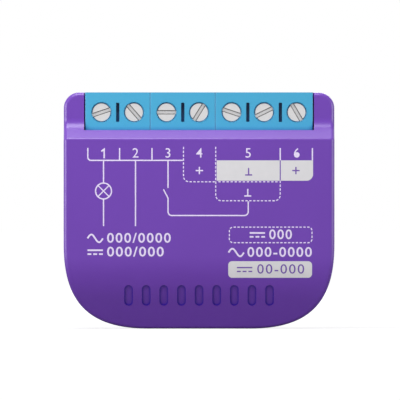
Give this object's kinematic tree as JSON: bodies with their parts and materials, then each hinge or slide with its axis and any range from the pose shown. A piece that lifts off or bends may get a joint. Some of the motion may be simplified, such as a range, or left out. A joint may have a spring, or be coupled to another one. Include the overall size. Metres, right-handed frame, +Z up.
{
  "type": "smart relay module",
  "caption": "Flat mains relay module with rounded lower corners, a stepped front and a row of blue screw terminals along its top, for fitting behind a wall switch.",
  "frame": {"origin": "middle of the footprint, on the surface that the bottom edge stands on", "axes": "+X to the right seen from the front, +Y to the back cover, +Z up to the terminals"},
  "size_m": [0.0422, 0.016, 0.0369],
  "materials": {
    "shell_plastic": "fine moulded texture, purple",
    "terminal_plastic": "smooth moulded polyamide, light blue",
    "screw_steel": "zinc-plated, turned",
    "cage_steel": "zinc-plated, pressed",
    "bar_brass": "tin-plated brass strip",
    "board_laminate": "glass-fibre laminate with green solder mask",
    "relay_plastic": "moulded thermoplastic, black",
    "bobbin_plastic": "moulded thermoplastic, natural",
    "magnet_iron": "nickel-plated soft iron",
    "copper_wire": "enamelled copper wire",
    "contact_alloy": "copper alloy spring strip with silver contact",
    "ferrite": "sintered ferrite",
    "winding_tape": "polyester tape over copper",
    "can_aluminium": "aluminium can in a dark sleeve",
    "varistor_lacquer": "epoxy dip, blue",
    "resistor_lacquer": "cement lacquer",
    "chip_plastic": "moulded epoxy",
    "chip_ceramic": "sintered ceramic with tinned ends",
    "shield_steel": "tinned sheet",
    "button_plastic": "moulded, black",
    "clear_plastic": "clear polycarbonate",
    "lamp_epoxy": "clear epoxy over a lamp chip"
  },
  "bodies": {
    "housing": {"front_shell": "shell_plastic", "rear_cover": "shell_plastic", "terminal_housing_left": "terminal_plastic", "terminal_housing_middle": "terminal_plastic", "terminal_housing_right": "terminal_plastic", "contact_bars": "bar_brass", "main_board": "board_laminate", "relay_case": "relay_plastic", "relay_base": "relay_plastic", "relay_bobbin": "bobbin_plastic", "relay_winding": "copper_wire", "relay_core": "magnet_iron", "relay_yoke": "magnet_iron", "relay_common_terminal": "contact_alloy", "relay_fixed_contact": "contact_alloy", "relay_coil_pins": "bar_brass", "transformer_core": "ferrite", "transformer_bobbin": "relay_plastic", "transformer_winding": "winding_tape", "bulk_capacitor": "can_aluminium", "output_capacitor": "can_aluminium", "input_choke": "ferrite", "varistor": "varistor_lacquer", "fusible_resistor": "resistor_lacquer", "bridge_rectifier": "chip_plastic", "converter_chip": "chip_plastic", "optocoupler": "chip_plastic", "voltage_regulator": "chip_plastic", "chip_resistors": "chip_plastic", "chip_capacitors": "chip_ceramic", "radio_board": "board_laminate", "radio_shield_can": "shield_steel", "radio_chip": "chip_plastic", "radio_crystal": "shield_steel", "radio_antenna": "copper_wire", "button_switch": "chip_plastic", "status_lamp": "lamp_epoxy", "light_pipe": "clear_plastic"},
    "armature": {"relay_armature": "magnet_iron"},
    "pusher_card": {"relay_pusher_card": "bobbin_plastic"},
    "moving_blade": {"relay_moving_blade": "contact_alloy"},
    "button": {"button_cap": "button_plastic"},
    "plunger": {"switch_plunger": "button_plastic"},
    "screw_1": {"terminal_screw_1": "screw_steel"},
    "cage_1": {"clamp_cage_1": "cage_steel"},
    "screw_2": {"terminal_screw_2": "screw_steel"},
    "cage_2": {"clamp_cage_2": "cage_steel"},
    "screw_3": {"terminal_screw_3": "screw_steel"},
    "cage_3": {"clamp_cage_3": "cage_steel"},
    "screw_4": {"terminal_screw_4": "screw_steel"},
    "cage_4": {"clamp_cage_4": "cage_steel"},
    "screw_5": {"terminal_screw_5": "screw_steel"},
    "cage_5": {"clamp_cage_5": "cage_steel"},
    "screw_6": {"terminal_screw_6": "screw_steel"},
    "cage_6": {"clamp_cage_6": "cage_steel"},
    "screw_7": {"terminal_screw_7": "screw_steel"},
    "cage_7": {"clamp_cage_7": "cage_steel"}
  },
  "joints": [
    {"name": "screw_1_turn", "type": "hinge", "parent": "housing", "child": "screw_1", "pos_m": [-0.01524, -0.0053, 0.03379], "axis": [0, 1, 0], "range_deg": [0, 1759]},
    {"name": "screw_2_turn", "type": "hinge", "parent": "housing", "child": "screw_2", "pos_m": [-0.01016, -0.0053, 0.03379], "axis": [0, 1, 0], "range_deg": [0, 1759]},
    {"name": "screw_3_turn", "type": "hinge", "parent": "housing", "child": "screw_3", "pos_m": [-0.00508, -0.0053, 0.03379], "axis": [0, 1, 0], "range_deg": [0, 1759]},
    {"name": "screw_4_turn", "type": "hinge", "parent": "housing", "child": "screw_4", "pos_m": [0, -0.0053, 0.03379], "axis": [0, 1, 0], "range_deg": [0, 1759]},
    {"name": "screw_5_turn", "type": "hinge", "parent": "housing", "child": "screw_5", "pos_m": [0.00508, -0.0053, 0.03379], "axis": [0, 1, 0], "range_deg": [0, 1759]},
    {"name": "screw_6_turn", "type": "hinge", "parent": "housing", "child": "screw_6", "pos_m": [0.01016, -0.0053, 0.03379], "axis": [0, 1, 0], "range_deg": [0, 1759]},
    {"name": "screw_7_turn", "type": "hinge", "parent": "housing", "child": "screw_7", "pos_m": [0.01524, -0.0053, 0.03379], "axis": [0, 1, 0], "range_deg": [0, 1759]},
    {"name": "cage_1_rise", "type": "slide", "parent": "housing", "child": "cage_1", "axis": [0, -1, 0], "range_m": [0, 0.0022]},
    {"name": "cage_2_rise", "type": "slide", "parent": "housing", "child": "cage_2", "axis": [0, -1, 0], "range_m": [0, 0.0022]},
    {"name": "cage_3_rise", "type": "slide", "parent": "housing", "child": "cage_3", "axis": [0, -1, 0], "range_m": [0, 0.0022]},
    {"name": "cage_4_rise", "type": "slide", "parent": "housing", "child": "cage_4", "axis": [0, -1, 0], "range_m": [0, 0.0022]},
    {"name": "cage_5_rise", "type": "slide", "parent": "housing", "child": "cage_5", "axis": [0, -1, 0], "range_m": [0, 0.0022]},
    {"name": "cage_6_rise", "type": "slide", "parent": "housing", "child": "cage_6", "axis": [0, -1, 0], "range_m": [0, 0.0022]},
    {"name": "cage_7_rise", "type": "slide", "parent": "housing", "child": "cage_7", "axis": [0, -1, 0], "range_m": [0, 0.0022]},
    {"name": "armature_swing", "type": "hinge", "parent": "housing", "child": "armature", "pos_m": [0.00873, -0.0011, 0.02516], "axis": [0, -1, 0], "range_deg": [0, 6.03]},
    {"name": "card_push", "type": "slide", "parent": "housing", "child": "pusher_card", "axis": [1, 0, 0], "range_m": [0, 0.000628], "stiffness_N_per_m": 2, "springref_m": -0.005},
    {"name": "blade_bend", "type": "hinge", "parent": "housing", "child": "moving_blade", "pos_m": [0.01497, 0.0032, 0.01916], "axis": [0, 0, 1], "range_deg": [0, 4.81]},
    {"name": "button_press", "type": "slide", "parent": "housing", "child": "button", "axis": [0, -1, 0], "range_m": [0, 0.0002], "stiffness_N_per_m": 5, "springref_m": -0.02},
    {"name": "plunger_press", "type": "slide", "parent": "housing", "child": "plunger", "axis": [0, -1, 0], "range_m": [0, 0.0002]}
  ],
  "couplings": [
    {"joint": "screw_1_turn", "follows": "cage_1_rise", "rad_per_m": 13963},
    {"joint": "screw_2_turn", "follows": "cage_2_rise", "rad_per_m": 13963},
    {"joint": "screw_3_turn", "follows": "cage_3_rise", "rad_per_m": 13963},
    {"joint": "screw_4_turn", "follows": "cage_4_rise", "rad_per_m": 13963},
    {"joint": "screw_5_turn", "follows": "cage_5_rise", "rad_per_m": 13963},
    {"joint": "screw_6_turn", "follows": "cage_6_rise", "rad_per_m": 13963},
    {"joint": "screw_7_turn", "follows": "cage_7_rise", "rad_per_m": 13963},
    {"joint": "armature_swing", "follows": "card_push", "rad_per_m": 166.67},
    {"joint": "blade_bend", "follows": "card_push", "rad_per_m": 133.33},
    {"joint": "plunger_press", "follows": "button_press", "ratio": 1}
  ]
}
